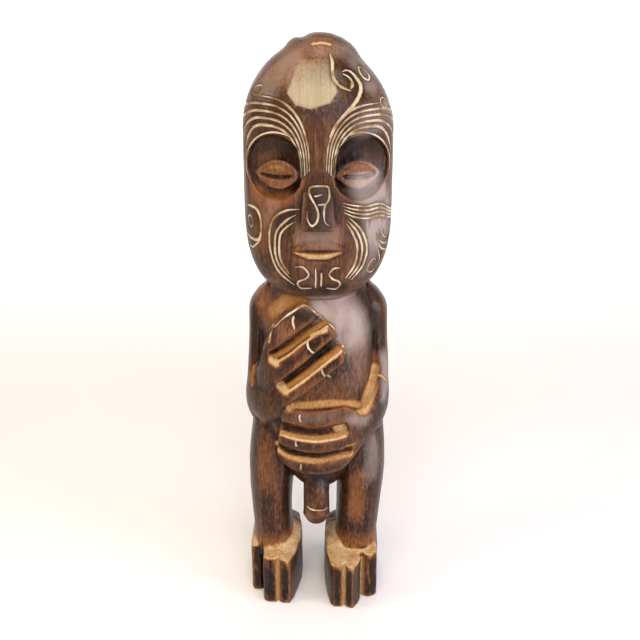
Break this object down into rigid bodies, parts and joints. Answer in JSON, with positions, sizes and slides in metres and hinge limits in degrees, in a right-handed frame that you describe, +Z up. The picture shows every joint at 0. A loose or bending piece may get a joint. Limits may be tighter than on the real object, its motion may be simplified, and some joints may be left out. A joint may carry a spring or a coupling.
{
  "type": "tekoteko figure",
  "caption": "Standing carved wooden ancestor figure with a large tattooed head, one hand on the chest, one on the belly, and block feet.",
  "frame": {"origin": "on the ground, under the middle of the figure's bounding box", "axes": "+Z up along the figure's height, -Y the way it faces, +X to the right as seen from the front"},
  "size_m": [0.099, 0.091, 0.3832],
  "materials": {
    "carved_wood": "hand-carved hardwood with a dark brown satin stain, worn to golden bare wood in the cuts, cream paint in the tattoo lines"
  },
  "bodies": {
    "root": {"figure": "carved_wood"}
  },
  "joints": []
}
